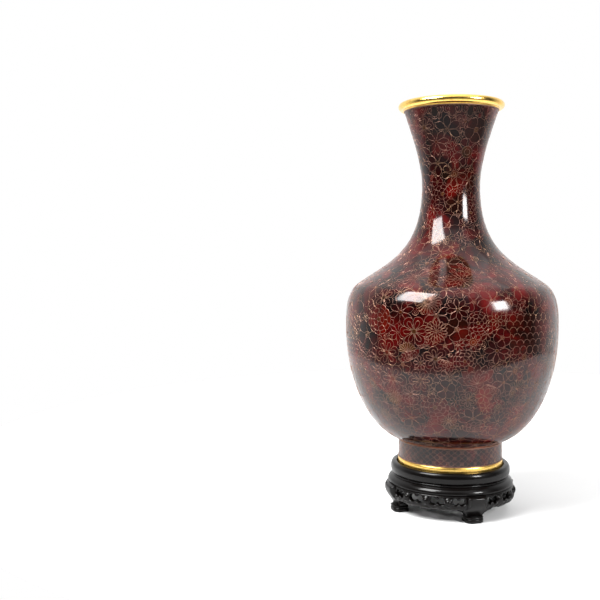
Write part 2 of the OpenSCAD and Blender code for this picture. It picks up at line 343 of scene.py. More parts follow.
def cloudNode(tree, base, first, second, scale, firstAmount, secondAmount):
    clouds = tree.nodes.new("ShaderNodeGroup")
    clouds.node_tree = cloudGroup
    for label, value in (("Base", base), ("First Cloud", first), ("Second Cloud", second)):
        if isinstance(value, tuple):
            clouds.inputs[label].default_value = (*value, 1)
        else:
            tree.links.new(value, clouds.inputs[label])
    clouds.inputs["Scale"].default_value = scale
    clouds.inputs["First Amount"].default_value = firstAmount
    clouds.inputs["Second Amount"].default_value = secondAmount
    return clouds.outputs["Color"]


def makeFieldEnamel():
    material, tree, shader = baseMaterial("fieldEnamel", 0, 40, 1400, (0.08, 0.16), 0.05, 0.0002)
    fill = tree.nodes.new("ShaderNodeAttribute")
    fill.attribute_name = "fill"
    colour = cloudNode(tree, fill.outputs["Color"], enamelColour(96, 15, 13), enamelColour(14, 10, 9),
                       34, 0.5, 0.6)
    tree.links.new(colour, shader.inputs["Base Color"])
    shader.inputs["IOR"].default_value = 1.37
    return material


# A material of one colour clouded with two others
def makeClouded(name, metallic, patchScale, fineScale, rough, bump, bumpDistance, colours, scale, amounts):
    material, tree, shader = baseMaterial(name, metallic, patchScale, fineScale, rough, bump, bumpDistance)
    colour = cloudNode(tree, *(enamelColour(*c) for c in colours), scale, *amounts)
    tree.links.new(colour, shader.inputs["Base Color"])
    return material


def makeLiningEnamel():
    return makeClouded("liningEnamel", 0, 30, 500, (0.16, 0.3), 0.12, 0.0003,
                       ((30, 120, 132), (20, 92, 110), (64, 150, 150)), 70, (0.7, 0.4))


def makeGilt(name, rough):
    return makeClouded(name, 1, 90, 2600, rough, 0.05, 0.0001,
                       ((247, 206, 112), (236, 184, 92), (206, 148, 70)), 110, (0.5, 0.25))


def makeWireMetal():
    return makeClouded("cloisonWire", 1, 60, 2000, (0.42, 0.56), 0.03, 0.0001,
                       ((142, 110, 98), (154, 122, 92), (102, 74, 66)), 36, (0.6, 0.5))


def makeCopper():
    return makeClouded("beatenCopper", 1, 120, 300, (0.3, 0.5), 0.2, 0.0004,
                       ((186, 112, 78), (120, 66, 46), (90, 78, 60)), 60, (0.5, 0.3))


# Black lacquered wood: grain is noise stretched along one axis
def makeBlackWood():
    material, tree, shader = baseMaterial("blackWood", 0, 70, 700, (0.26, 0.4), 0.1, 0.0003)
    place = tree.nodes.new("ShaderNodeTexCoord").outputs["Object"]
    stretch = tree.nodes.new("ShaderNodeMapping")
    stretch.inputs["Scale"].default_value = (220, 1600, 1600)
    tree.links.new(place, stretch.inputs["Vector"])
    grain = noiseNode(tree, stretch.outputs[0], 1.0, 5, 0.8)
    streak = rangeNode(tree, grain, 0.35, 0.7, 0, 1)
    dark = cloudNode(tree, enamelColour(9, 8, 8), enamelColour(14, 11, 10), enamelColour(6, 5, 6),
                     120, 0.6, 0.6)
    colour = mixNode(tree, streak, dark, enamelColour(16, 13, 12))
    tree.links.new(colour, shader.inputs["Base Color"])
    grainDent = tree.nodes.new("ShaderNodeBump")
    grainDent.inputs["Strength"].default_value = 0.12
    grainDent.inputs["Distance"].default_value = 0.0003
    tree.links.new(grain, grainDent.inputs["Height"])
    tree.links.new(tree.nodes["Bump"].outputs["Normal"], grainDent.inputs["Normal"])
    tree.links.new(grainDent.outputs["Normal"], shader.inputs["Normal"])
    shader.inputs["IOR"].default_value = 1.16
    shader.inputs["Coat Weight"].default_value = 0.24
    shader.inputs["Coat Roughness"].default_value = 0.05
    return material


fieldEnamel = makeFieldEnamel()
liningGlaze = makeLiningEnamel()
giltMetal = makeGilt("giltRing", (0.14, 0.24))
satinGilt = makeGilt("giltSatin", (0.26, 0.38))
wireMetal = makeWireMetal()
copperMetal = makeCopper()
blackWood = makeBlackWood()
print("materials ready")


# ---- Camera and light ----
# The camera looks at the vase from the front right, a little above its middle
camera = {
    "azimuth": 30.5,      # degrees from -Y towards +X
    "depth": 0.936,       # from the lens to the vase's axis, along the view
    "leftOfVase": 0.1595,
    "height": 0.2707,
    "lens": 53.0,
    "tilt": 1.4,          # degrees down
    "shiftY": -0.044,
}


def makeCamera(c):
    data = bpy.data.cameras.new("camera")
    data.lens = c["lens"]
    data.sensor_width = 36
    data.shift_y = c["shiftY"]
    data.clip_start = 0.02
    data.clip_end = 50
    a = math.radians(c["azimuth"])
    back = Vector((math.sin(a), -math.cos(a), 0))
    right = Vector((math.cos(a), math.sin(a), 0))
    eye = bpy.data.objects.new("camera", data)
    eye.location = c["depth"] * back - c["leftOfVase"] * right + Vector((0, 0, c["height"]))
    eye.rotation_euler = (math.radians(90 - c["tilt"]), 0, a)
    bpy.context.scene.collection.objects.link(eye)
    bpy.context.scene.camera = eye


makeCamera(camera)
bpy.context.scene.view_settings.view_transform = "Standard"
bpy.context.scene.view_settings.look = "None"

studio = {
    "backGlow": 1.2,      # the white cove behind and beside the vase
    "frontGlow": 0.04,    # the dim room in front of it
    "topGlow": 0.95,       # the pale ceiling, brightest straight above
    "floorGlow": 0.8,     # the room's pale floor, seen only in reflections
    "floorR": 0.75,       # metres; past the floor's edge the white cove goes on
    "floorBack": 0.36,    # its middle lies this far behind the vase
    "softboxes": [        # name, azimuth, elevation, distance, width, height, power
        ("keyLeft", -28, 46, 1.9, 0.95, 1.05, 98),
        ("keyRight", 76, 22, 1.8, 0.46, 0.5, 36),
        ("overhead", 30, 82, 1.7, 2.4, 2.4, 15),
    ],
}


def makeWorld(s):
    world = bpy.data.worlds.new("studio")
    bpy.context.scene.world = world
    world.use_nodes = True
    tree = world.node_tree
    glow = tree.nodes["Background"]
    way = tree.nodes.new("ShaderNodeTexCoord").outputs["Generated"]
    a = math.radians(camera["azimuth"])
    dot = tree.nodes.new("ShaderNodeVectorMath")
    dot.operation = "DOT_PRODUCT"
    dot.inputs[1].default_value = (math.sin(a), -math.cos(a), 0)
    tree.links.new(way, dot.inputs[0])
    strength = rangeNode(tree, dot.outputs["Value"], -0.5, 0.1, s["backGlow"], s["frontGlow"])
    height = tree.nodes.new("ShaderNodeSeparateXYZ")
    tree.links.new(way, height.inputs[0])
    brighter = tree.nodes.new("ShaderNodeMath")
    brighter.operation = "MAXIMUM"
    tree.links.new(rangeNode(tree, height.outputs["Z"], 0.35, 1.0, 0, s["topGlow"]), brighter.inputs[0])
    tree.links.new(rangeNode(tree, height.outputs["Z"], -0.1, -0.5, 0, s["floorGlow"]), brighter.inputs[1])
    most = tree.nodes.new("ShaderNodeMath")
    most.operation = "MAXIMUM"
    tree.links.new(brighter.outputs[0], most.inputs[0])
    tree.links.new(strength, most.inputs[1])
    tree.links.new(most.outputs[0], glow.inputs["Strength"])
    glow.inputs["Color"].default_value = (1, 1, 1, 1)
    white = tree.nodes.new("ShaderNodeBackground")
    white.inputs["Color"].default_value = (1, 1, 1, 1)
    pick = tree.nodes.new("ShaderNodeMixShader")
    tree.links.new(tree.nodes.new("ShaderNodeLightPath").outputs["Is Camera Ray"], pick.inputs[0])
    tree.links.new(glow.outputs[0], pick.inputs[1])
    tree.links.new(white.outputs[0], pick.inputs[2])
    tree.links.new(pick.outputs[0], tree.nodes["World Output"].inputs["Surface"])


def makeSoftboxes(boxes):
    aim = Vector((0, 0, 0.22))
    for name, azimuth, elevation, distance, width, height, power in boxes:
        light = bpy.data.lights.new(name, "AREA")
        light.shape = "RECTANGLE"
        light.size = width
        light.size_y = height
        light.energy = power
        a, e = math.radians(azimuth), math.radians(elevation)
        lamp = bpy.data.objects.new(name, light)
        lamp.location = aim + distance * Vector((math.sin(a) * math.cos(e), -math.cos(a) * math.cos(e),
                                                 math.sin(e)))
        lamp.rotation_euler = (aim - lamp.location).to_track_quat("-Z", "Y").to_euler()
        bpy.context.scene.collection.objects.link(lamp)


def makeFloor(radius, back):
    rim = aroundAxis(radius, 0, np.linspace(0, fullTurn, 96, endpoint=False))
    rim -= aroundAxis(back, 0, math.radians(camera["azimuth"] - 20))
    mesh = meshFrom("floor", rim, [tuple(range(96))])
    floor = newObject("floor", mesh)
    paper = bpy.data.materials.new("whitePaper")
    paper.use_nodes = True
    shader = paper.node_tree.nodes["Principled BSDF"]
    shader.inputs["Base Color"].default_value = (0.7, 0.7, 0.7, 1)
    shader.inputs["Roughness"].default_value = 0.7
    mesh.materials.append(paper)


makeWorld(studio)
makeSoftboxes(studio["softboxes"])
makeFloor(studio["floorR"], studio["floorBack"])
print("camera and lights ready")


# ---- The pattern: an unrolled map of the skin, claimed from the front flower to the back ----
pattern = {
    "step": 0.5,          # mm between rows of the map
    "columns": 1440,
    "seed": 11,
    "pointGap": 1.1,      # mm between points along a wire
    "ground": (19, 8, 8),
    "borderGround": (36, 12, 11),
}
rowS = np.arange(pattern["step"] / 2, topS, pattern["step"])
columnWidth = fullTurn / pattern["columns"]
claimed = np.zeros((len(rowS), pattern["columns"]), dtype=bool)
fillMap = np.empty((len(rowS), pattern["columns"], 3))
fillMap[:] = enamelColour(*pattern["ground"])
wireRuns = []
dice = random.Random(pattern["seed"])


def rowsOf(s):
    return np.clip((s / pattern["step"]).astype(int), 0, len(rowS) - 1)


def columnsOf(azimuth):
    return np.floor(azimuth / columnWidth).astype(int) % pattern["columns"]


# Flat motif points in mm round (s, azimuth) to points on the skin
def wrapped(points, s, azimuth):
    along = s + points[:, 1]
    return along, azimuth + points[:, 0] / radiusAt(np.clip(along, 0, topS))


# Even points along a polyline, so that wires bend smoothly
def evenPoints(points, closed):
    points = np.asarray(points, dtype=float)
    if closed:
        points = np.concatenate([points, points[:1]])
    way = np.concatenate([[0], np.cumsum(np.hypot(*np.diff(points, axis=0).T))])
    count = max(int(round(way[-1] / pattern["pointGap"])), 3)
    at = np.linspace(0, way[-1], count + 1)
    return np.stack([np.interp(at, way, points[:, 0]), np.interp(at, way, points[:, 1])], 1)


# Keeps the stretches of a wire that nothing in front of it has claimed
def layWire(points, s, azimuth, closed=True):
    along, around = wrapped(evenPoints(points, closed), s, azimuth)
    free = (along > 0.4) & (along < topS - 0.2) & ~claimed[rowsOf(along), columnsOf(around)]
    run = []
    for index in range(len(free) + 1):
        if index < len(free) and free[index]:
            run.append(index)
            continue
        if len(run) > 2:
            wireRuns.append((along[run], around[run]))
        run = []


# Claims the map's free cells inside an outline and fills them with one colour
def claim(points, s, azimuth, colour):
    along, around = wrapped(points, s, azimuth)
    rows = np.arange(max(int(along.min() / pattern["step"]), 0),
                     min(int(along.max() / pattern["step"]) + 1, len(rowS)))
    columns = np.arange(math.floor(around.min() / columnWidth), math.ceil(around.max() / columnWidth))
    if len(rows) == 0 or len(columns) == 0:
        return 0
    level = rowS[rows][None, :]
    lowS, highS = along[:, None], np.roll(along, -1)[:, None]
    lowA, highA = around[:, None], np.roll(around, -1)[:, None]
    spans = (lowS > level) != (highS > level)
    rise = np.where(spans, highS - lowS, 1.0)
    crossing = np.where(spans, lowA + (level - lowS) * (highA - lowA) / rise, -1e9)
    centre = (columns + 0.5) * columnWidth
    inside = (centre[None, None, :] < crossing[:, :, None]).sum(0) % 2 == 1
    cells = np.ix_(rows, columns % pattern["columns"])
    fresh = inside & ~claimed[cells]
    block = fillMap[cells]
    block[fresh] = colour
    fillMap[cells] = block
    claimed[cells] |= inside
    return int(fresh.sum())


# Share of a disc that is still free
discPoints = np.array([(math.sqrt((i + 0.5) / 40) * math.cos(2.4 * i),
                        math.sqrt((i + 0.5) / 40) * math.sin(2.4 * i)) for i in range(40)])


def freeShare(s, azimuth, size):
    along, around = wrapped(discPoints * size, s, azimuth)
    free = (along > 0) & (along < topS) & ~claimed[rowsOf(along), columnsOf(around)]
    return free.mean()


# ---- Motifs, in units of the motif's own radius ----
def rotated(points, degrees):
    a = math.radians(degrees)
    return np.asarray(points) @ np.array([[math.cos(a), math.sin(a)], [-math.sin(a), math.cos(a)]])


def ringPoints(radius, centre=(0, 0), count=14):
    angles = np.linspace(0, fullTurn, count, endpoint=False)
    return np.stack([centre[0] + radius * np.cos(angles), centre[1] + radius * np.sin(angles)], 1)


# One petal along +x: peak says where it is widest, blunt below 1 rounds its tip
def petalPoints(inner, outer, halfWidth, peak=0.6, blunt=1.0, bend=0.0):
    t = 0.5 - 0.5 * np.cos(np.linspace(0, math.pi, 10))
    width = halfWidth * np.abs(np.sin(math.pi * t ** (math.log(0.5) / math.log(peak)))) ** blunt
    along = inner + (outer - inner) * t
    middle = bend * t * t
    upper = np.stack([along, middle + width], 1)
    lower = np.stack([along, middle - width], 1)[::-1]
    return np.concatenate([upper, lower[1:-1]])


# Each layer: petals, inner, outer, half width, peak, blunt, bend, veins. Front layers first.
bloomKinds = {
    "star": {"core": (0.13,), "layers": [(8, 0.12, 1.0, 0.22, 0.55, 0.85, 0, 0)]},
    "starSix": {"core": (0.14, 0.07), "layers": [(6, 0.12, 1.0, 0.27, 0.55, 0.8, 0, 0)]},
    "doubleStar": {"core": (0.12,), "layers": [(8, 0.1, 0.66, 0.15, 0.6, 0.75, 0, 0),
                                               (8, 0.2, 1.0, 0.24, 0.62, 0.75, 0, 0)]},
    "daisy": {"core": (0.22, 0.1), "layers": [(14, 0.2, 1.0, 0.15, 0.74, 0.55, 0, 0)]},
    "daisyNine": {"core": (0.26, 0.12), "layers": [(9, 0.24, 1.0, 0.24, 0.7, 0.55, 0, 0)]},
    "chrysanthemum": {"core": (0.1,), "layers": [(11, 0.06, 0.6, 0.1, 0.6, 0.7, 0.06, 0),
                                                 (17, 0.2, 1.0, 0.115, 0.68, 0.7, 0.1, 0)]},
    "burst": {"core": (0.07,), "layers": [(22, 0.05, 1.0, 0.085, 0.8, 0.7, 0, 0)]},
    "blossom": {"core": (0.2, 0.09), "layers": [(5, 0.14, 1.0, 0.46, 0.64, 0.5, 0, 0)]},
    "plum": {"core": (0.16,), "layers": [(6, 0.12, 1.0, 0.36, 0.66, 0.5, 0, 1)]},
    "peony": {"core": (0.15,), "layers": [(5, 0.05, 0.46, 0.23, 0.7, 0.45, 0, 0),
                                          (8, 0.2, 0.76, 0.25, 0.78, 0.4, 0.04, 0),
                                          (11, 0.4, 1.0, 0.25, 0.8, 0.4, 0.04, 0)]},
    "ringFlower": {"core": (0.42, 0.22), "layers": [(8, 0.34, 1.0, 0.27, 0.72, 0.5, 0, 0)]},
    "lotus": {"core": (), "fan": 150, "layers": [(4, 0.0, 0.72, 0.2, 0.6, 0.85, 0, 1),
                                                 (6, 0.0, 1.0, 0.21, 0.62, 0.85, 0, 1)]},
    "halfDaisy": {"core": (), "fan": 160, "layers": [(9, 0.05, 1.0, 0.12, 0.72, 0.6, 0, 0)]},
    "leaves": {"core": (), "fan": 70, "layers": [(3, 0.0, 1.0, 0.2, 0.5, 1.0, 0.12, 0)]},
}
tints = {
    "maroon": (48, 13, 12), "wine": (55, 13, 13), "red": (70, 14, 13), "orange": (80, 23, 15),
    "brown": (46, 20, 14), "moss": (36, 22, 16), "slate": (34, 19, 19), "plumGrey": (40, 16, 18),
    "ochre": (80, 50, 28), "night": (31, 12, 11),
}
tintShares = [("maroon", 42), ("wine", 14), ("red", 3), ("orange", 1), ("brown", 12), ("moss", 3),
              ("slate", 2), ("plumGrey", 5), ("night", 24)]


def pickTint():
    names, weights = zip(*tintShares)
    return dice.choices(names, weights)[0]


def shade(tint, low=0.42, high=0.66):
    level = dice.uniform(low, high)
    return tuple(c * level for c in enamelColour(*tints[tint]))


def placeBloom(kind, s, azimuth, size, tint, turn=None):
    spec = bloomKinds[kind]
    turn = dice.uniform(0, 360) if turn is None else turn
    for radius in reversed(spec["core"]):
        ring = ringPoints(radius) * size
        layWire(ring, s, azimuth)
        claim(ring, s, azimuth, shade("ochre", 0.3, 0.6))
    for depth, (count, inner, outer, width, peak, blunt, bend, veins) in enumerate(spec["layers"]):
        fan = spec.get("fan")
        for k in range(count):
            if fan:
                angle = turn + fan * ((k + 0.5) / count - 0.5)
            else:
                angle = turn + 360 * (k + 0.5 * depth) / count
            petal = petalPoints(inner, outer, width, peak, blunt, bend)
            for v in range(veins):
                share = (v + 1) / (veins + 1)
                veinEnd = inner + (outer - inner) * (0.55 + 0.35 * share)
                vein = petalPoints(inner, veinEnd, width * share * 0.8, peak, blunt, bend)
                layWire(rotated(vein, angle) * size, s, azimuth)
            petal = rotated(petal, angle) * size
            layWire(petal, s, azimuth)
            claim(petal, s, azimuth, shade(tint, 0.4 + 0.06 * depth, 0.66))


# A patch of fish scales: rows of round lappets, the lowest row in front
def placeScales(s, azimuth, size, tint, rows=6, lappet=0.2):
    for row in range(rows):
        y = -0.9 + row * lappet * 1.45
        half = int(math.sqrt(max(1.1 - y * y, 0.05)) / (2 * lappet)) + 1
        for k in range(-half, half + 1):
            x = (k + 0.5 * (row % 2)) * 2 * lappet
            lappetRing = ringPoints(lappet * 1.02, (x, y)) * size
            layWire(lappetRing, s, azimuth)
            claim(lappetRing, s, azimuth, shade(tint))


# A long curled tendril, for gaps between flowers
def spiralPoints(radius, turns, startDegrees=0):
    t = np.linspace(0.12, 1, int(16 * turns))
    angles = math.radians(startDegrees) + fullTurn * turns * t
    return np.stack([radius * t * np.cos(angles), radius * t * np.sin(angles)], 1)


def placeRoundel(s, azimuth, size, tint):
    if size > 2.6:
        layWire(spiralPoints(size * 0.62, 1.6, dice.uniform(0, 360)), s, azimuth, closed=False)
    ring = ringPoints(size)
    layWire(ring, s, azimuth)
    claim(ring, s, azimuth, shade(tint))


# ---- The border under the rim: a row of ruyi heads hanging point down ----
border = {
    "heads": 16,
    "lobeR": 0.31, "lobeX": 0.5, "lobeY": -0.3, "tipR": 0.36, "tipY": -0.62,
    "depth": 11.5,        # mm from the rim's wire to the tips
    "echo": 1.3,
}


# Outer edge of three round lobes, seen from a point between them
def trefoil(b, grow):
    centre = np.array([0.0, -0.36])
    lobes = [((b["lobeX"], b["lobeY"]), b["lobeR"]), ((-b["lobeX"], b["lobeY"]), b["lobeR"]),
             ((0, b["tipY"]), b["tipR"]), ((0, -0.34), 0.3)]
    outline = []
    for degrees in range(0, 360, 6):
        way = direction(degrees)
        reach = 0.0
        for spot, radius in lobes:
            offset = np.array(spot) - centre
            side = abs(way[0] * offset[1] - way[1] * offset[0])
            if side < radius:
                reach = max(reach, way @ offset + math.sqrt(radius * radius - side * side))
        outline.append(centre + way * reach * grow)
    return np.array(outline)


def drawBorder(b):
    halfPitch = math.pi * radiusAt((borderS + topS) / 2) / b["heads"]
    size = np.array([halfPitch * 0.98, b["depth"]])
    for head in range(b["heads"]):
        azimuth = fullTurn * head / b["heads"]
        for side in (-1, 1):
            curl = spiralPoints(b["lobeR"] * 0.7, 1.15, 200) * [side, 1] + [side * b["lobeX"], b["lobeY"]]
            layWire(curl * size, topS - 1.6, azimuth, closed=False)
            claim(ringPoints(b["lobeR"] * 0.75, (side * b["lobeX"], b["lobeY"])) * size, topS - 1.6, azimuth,
                  shade("wine"))
    for grow, tint in ((1.0, "moss"), (b["echo"], "night")):
        for head in range(b["heads"]):
            outline = trefoil(b, grow) * size
            layWire(outline, topS - 1.6, fullTurn * head / b["heads"])
        for head in range(b["heads"]):
            claim(trefoil(b, grow) * size, topS - 1.6, fullTurn * head / b["heads"], shade(tint))
    azimuth = fullTurn * (np.arange(240) + 0.5) / 240
    top = rowS > borderS + 5
    gaps = ~claimed[top]
    block = fillMap[top]
    block[gaps] = enamelColour(*pattern["borderGround"])
    fillMap[top] = block
    claimed[top] = True


drawBorder(border)

# Flowers whose place is chosen: kind, azimuth, height above the floor in mm, radius in mm, tint, turn
chosenBlooms = [
    ("burst", 9.5, 224, 13, "brown", 0), ("star", 24.5, 216.7, 11.5, "maroon", 10),
    ("halfDaisy", -0.5, 175, 10, "ochre", 100), ("ringFlower", 32, 186, 9, "maroon", 0),
    ("blossom", 47, 190, 9.5, "wine", 40), ("daisyNine", 55.5, 158, 11, "maroon", 5),
    ("lotus", 35, 146, 20, "orange", 105), ("plum", 5.5, 148, 12, "wine", 0),
    ("blossom", 18.5, 140, 10, "maroon", 20), ("halfDaisy", 58.5, 138, 11, "moss", 60),
    ("starSix", 39, 134, 9, "orange", 0), ("plum", 30.5, 130, 9, "brown", 30),
    ("chrysanthemum", -11.5, 129, 9, "ochre", 0), ("peony", 12.5, 121.5, 14, "red", 0),
    ("ringFlower", 48.5, 122, 8, "red", 0), ("daisy", 20, 108, 8, "maroon", 0),
    ("lotus", 37, 96, 14, "wine", 90), ("doubleStar", 44, 206, 10, "brown", 0),
    ("peony", -18, 205, 15, "orange", 0), ("peony", 28, 168, 11, "maroon", 0),
    ("chrysanthemum", 14, 196, 11, "maroon", 0), ("lotus", 20, 168, 11, "red", 250),
]


def drawChosen():
    for kind, azimuth, height, size, tint, turn in chosenBlooms:
        placeBloom(kind, alongAtHeight(height), math.radians(azimuth), size, tint, turn)
    placeScales(alongAtHeight(196), math.radians(64), 21, "brown")
    placeScales(alongAtHeight(170), math.radians(-52), 18, "plumGrey")


# Smaller and smaller flowers where there is still room, each partly behind its neighbours
fillPasses = [  # radius, share of its disc that must be free, tries
    (16, 0.84, 500), (13.5, 0.8, 1200), (11.0, 0.75, 2400), (9.0, 0.71, 3400), (7.6, 0.7, 3000),
]
fillKinds = [("star", 17), ("starSix", 17), ("doubleStar", 3), ("daisy", 1), ("daisyNine", 5),
             ("chrysanthemum", 1), ("blossom", 20), ("plum", 7), ("peony", 7), ("ringFlower", 6),
             ("lotus", 4)]


def drawFilling():
    placed = 0
    kinds, weights = zip(*fillKinds)
    for radius, needed, tries in fillPasses:
        freeCells = np.argwhere(~claimed)
        for _ in range(tries):
            row, column = freeCells[dice.randrange(len(freeCells))]
            s, azimuth = rowS[row], (column + 0.5) * columnWidth
            size = radius * dice.uniform(0.88, 1.12) * min(1.0, 0.6 + radiusAt(s) / 150)
            if claimed[row, column] or freeShare(s, azimuth, size) < needed:
                continue
            placeBloom(dice.choices(kinds, weights)[0], s, azimuth, size, pickTint())
            placed += 1
    return placed


gapPasses = [(3.6, 3600), (2.6, 2400)]  # radius, tries
gapFree = 0.7  # share of the disc that must be free


def drawGaps():
    placed = 0
    for radius, tries in gapPasses:
        freeCells = np.argwhere(~claimed)
        for _ in range(tries):
            row, column = freeCells[dice.randrange(len(freeCells))]
            s, azimuth = rowS[row], (column + 0.5) * columnWidth
            if claimed[row, column] or freeShare(s, azimuth, radius) < gapFree:
                continue
            if dice.random() < 0.5:
                placeBloom("leaves", s, azimuth, radius * 1.8, pickTint())
            else:
                placeRoundel(s, azimuth, radius, pickTint())
            placed += 1
    return placed


drawChosen()
print("flowers placed", drawFilling(), "and in gaps", drawGaps(), "share claimed", round(claimed.mean(), 3))
print("wire runs", len(wireRuns), "points", sum(len(r[0]) for r in wireRuns))


# ---- Enamel skin: rings of fine mesh that carry the map's colours ----
enamel = {
    "sink": 0.3,          # mm that the glass lies under the CAD's skin, so that wires can stand proud
    "wall": 0.42,
    "cell": 0.82,
}


# Columns are closed round the axis; levels is a list of rows of points, from the foot upwards and
# back down inside
def ringShell(name, levels, normals, colours, smoothRows):
    rows, columns = levels.shape[:2]
    index = np.arange(rows * columns).reshape(rows, columns)
    here, right = index, np.roll(index, -1, axis=1)
    above, aboveRight = np.roll(index, -1, axis=0), np.roll(np.roll(index, -1, axis=0), -1, axis=1)
    quads = np.stack([here, right, aboveRight, above], -1).reshape(-1, 4)
    mesh = meshFrom(name, levels.reshape(-1, 3) * mm, quads.tolist())
    mesh.shade_smooth()
    flat = np.empty(len(mesh.polygons) * 3)
    mesh.polygons.foreach_get("normal", flat)
    loopNormals = np.repeat(flat.reshape(-1, 3), 4, axis=0)
    outer = (smoothRows - 1) * columns * 4
    loopNormals[:outer] = normals.reshape(-1, 3)[quads.reshape(-1)[:outer]]
    mesh.normals_split_custom_set(loopNormals.tolist())
    layer = mesh.attributes.new("fill", "FLOAT_COLOR", "POINT")
    rgba = np.concatenate([colours.reshape(-1, 3), np.ones((rows * columns, 1))], 1)
    layer.data.foreach_set("color", rgba.astype(np.float32).ravel())
    return newObject(name, mesh)


def skinNormals(s, azimuth):
    outR, outZ = np.interp(s, lineS, slopeZ), -np.interp(s, lineS, slopeR)
    size = np.hypot(outR, outZ)
    return aroundAxis(outR / size, outZ / size, azimuth)


def enamelBand(name, fromS, toS, e):
    columns = int(fullTurn * radiusAt(np.linspace(fromS, toS, 20)).max() / e["cell"])
    rows = int((toS - fromS) / e["cell"]) + 1
    azimuth = (np.arange(columns) + 0.5)[None, :] * fullTurn / columns
    outerS = np.linspace(fromS, toS, rows)[:, None]
    innerS = np.linspace(toS, fromS, 10)[:, None]
    outer = onSkin(outerS, azimuth, -e["sink"])
    inner = onSkin(innerS, azimuth, -e["sink"] - e["wall"])
    colours = fillMap[rowsOf(outerS + 0 * azimuth), columnsOf(azimuth + 0 * outerS)]
    backs = np.broadcast_to(np.array(enamelColour(*pattern["ground"])), inner.shape)
    levels = np.concatenate([outer, inner])
    normals = np.concatenate([skinNormals(outerS + 0 * azimuth, azimuth), inner])
    return ringShell(name, levels, normals, np.concatenate([colours, backs]), rows)


bands = [  # name, from, to along the skin
    ("Foot", 0.0, widestS * 0.52), ("Belly", widestS * 0.52, widestS), ("Shoulder", widestS, turnS + 28),
    ("Throat", turnS + 28, waistS - 20), ("Neck", waistS - 20, borderS), ("Border", borderS, topS),
]
for label, fromS, toS in bands:
    skin = enamelBand("enamel" + label, fromS, toS, enamel)
    nodes = {"Foot": ("body_enamel",), "Border": ("border_enamel",)}.get(label, ())
    settle(skin, "vase", "field_enamel", fieldEnamel, *nodes)
    print("enamel", label, len(skin.data.polygons) * 2, "triangles")


# ---- Wires: polylines swept by Geometry Nodes ----
def makeSweepTree():
    tree = bpy.data.node_groups.new("sweepWires", "GeometryNodeTree")
    face = tree.interface
    face.new_socket("Geometry", in_out="INPUT", socket_type="NodeSocketGeometry")
    sockets = {
        "radius": face.new_socket("Wire Radius", in_out="INPUT", socket_type="NodeSocketFloat").identifier,
        "sides": face.new_socket("Wire Sides", in_out="INPUT", socket_type="NodeSocketInt").identifier,
        "material": face.new_socket("Metal", in_out="INPUT", socket_type="NodeSocketMaterial").identifier,
    }
    face.new_socket("Geometry", in_out="OUTPUT", socket_type="NodeSocketGeometry")
    into, out = tree.nodes.new("NodeGroupInput"), tree.nodes.new("NodeGroupOutput")
    toCurve = tree.nodes.new("GeometryNodeMeshToCurve")
    section = tree.nodes.new("GeometryNodeCurvePrimitiveCircle")
    sweep = tree.nodes.new("GeometryNodeCurveToMesh")
    sweep.inputs["Fill Caps"].default_value = True
    realize = tree.nodes.new("GeometryNodeRealizeInstances")
    dress = tree.nodes.new("GeometryNodeSetMaterial")
    tree.links.new(into.outputs["Geometry"], toCurve.inputs["Mesh"])
    tree.links.new(into.outputs["Wire Radius"], section.inputs["Radius"])
    tree.links.new(into.outputs["Wire Sides"], section.inputs["Resolution"])
    tree.links.new(toCurve.outputs["Curve"], sweep.inputs["Curve"])
    tree.links.new(section.outputs["Curve"], sweep.inputs["Profile Curve"])
    tree.links.new(sweep.outputs["Mesh"], realize.inputs["Geometry"])
    tree.links.new(realize.outputs["Geometry"], dress.inputs["Geometry"])
    tree.links.new(into.outputs["Metal"], dress.inputs["Material"])
    tree.links.new(dress.outputs["Geometry"], out.inputs["Geometry"])
    return tree, sockets


sweepTree, sweepSockets = makeSweepTree()
wires = {"radius": 0.115, "sides": 4, "sink": 0.31}


# Lines is a list of (points in mm, closed); the result is one plain mesh
def sweptPiece(name, lines, radius, sides, material):
    points, edges = [], []
    for line3d, closed in lines:
        first = len(points)
        points.extend(line3d.tolist())
        edges.extend((i, i + 1) for i in range(first, len(points) - 1))
        if closed:
            edges.append((len(points) - 1, first))
    path = newObject(name + "Path", meshFrom(name + "Path", np.array(points) * mm, [], edges))
    sweep = path.modifiers.new("sweep", "NODES")
    sweep.node_group = sweepTree
    sweep[sweepSockets["radius"]] = radius * mm
    sweep[sweepSockets["sides"]] = sides
    sweep[sweepSockets["material"]] = material
    made = path.evaluated_get(bpy.context.evaluated_depsgraph_get())
    mesh = bpy.data.meshes.new_from_object(made)
    mesh.name = name
    mesh.shade_smooth()
    mesh.set_sharp_from_angle(angle=math.radians(70))
    bpy.data.objects.remove(path)
    return newObject(name, mesh)


def drawWires():
    for label, fromS, toS in bands:
        lines = []
        for along, around in wireRuns:
            if fromS <= along[len(along) // 2] < toS:
                lines.append((onSkin(along, around, -wires["sink"]), False))
        piece = sweptPiece("wires" + label, lines, wires["radius"], wires["sides"], wireMetal)
        settle(piece, "vase", "gilt", None)
        triangles = sum(len(p.vertices) - 2 for p in piece.data.polygons)
        print("wires", label, len(lines), "runs", triangles, "triangles")


drawWires()


# ---- Foot: enamel band with a diamond lattice, wire rings and the gilt band ----
foot = {
    "bandH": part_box("foot_band")[1][2] / mm - seatZ,
    "bandR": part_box("foot_band")[1][0] / mm,
    "topZ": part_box("foot_top_wire")[0][2] / mm - seatZ,
    "diamonds": 48,
    "roundel": 1.6,
    "sink": 0.25,
}


